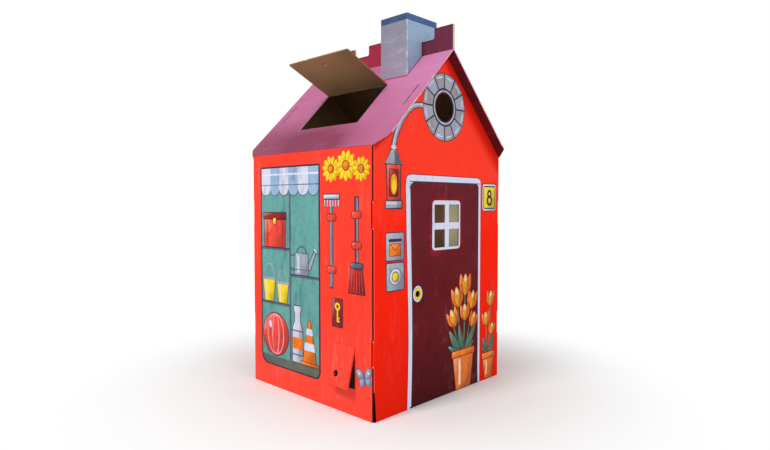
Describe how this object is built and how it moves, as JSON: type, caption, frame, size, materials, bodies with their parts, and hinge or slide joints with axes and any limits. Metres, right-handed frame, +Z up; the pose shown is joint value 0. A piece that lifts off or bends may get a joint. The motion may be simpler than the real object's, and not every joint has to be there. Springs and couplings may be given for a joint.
{
  "type": "cardboard playhouse",
  "caption": "Floor-standing playhouse folded from corrugated board, with walls, steep roof, toothed ridge crest, chimney sleeve, door, roof hatch and small side flap.",
  "frame": {"origin": "on the floor at the middle of the footprint of the four walls", "axes": "+Z up; the gable with the door faces -Y; the wall with the side flap and the roof hatch faces -X; the ridge runs along Y"},
  "size_m": [0.6806, 0.682, 1.248],
  "materials": {
    "red_board": "brush-painted, matte",
    "chimney_board": "brush-painted, matte",
    "door_board": "brush-painted, matte",
    "roof_board": "brush-painted, matte"
  },
  "bodies": {
    "house": {"left_side_sheet": "red_board", "right_side_sheet": "red_board", "front_gable_sheet": "red_board", "rear_gable_sheet": "red_board", "chimney_sleeve": "chimney_board"},
    "door": {"door": "door_board"},
    "roof_hatch": {"roof_hatch": "roof_board"},
    "side_flap": {"side_flap": "red_board"}
  },
  "joints": [
    {"name": "door_fold", "type": "hinge", "parent": "house", "child": "door", "pos_m": [0.197, -0.305, 0.35], "axis": [0, 0, 1], "range_deg": [0, 150]},
    {"name": "hatch_fold", "type": "hinge", "parent": "house", "child": "roof_hatch", "pos_m": [-0.10085, 0, 1.02415], "axis": [0, 1, 0], "range_deg": [-70, 65]},
    {"name": "flap_fold", "type": "hinge", "parent": "house", "child": "side_flap", "pos_m": [-0.325, -0.182, 0.208], "axis": [0, 1, 0], "range_deg": [-14, 136]}
  ]
}
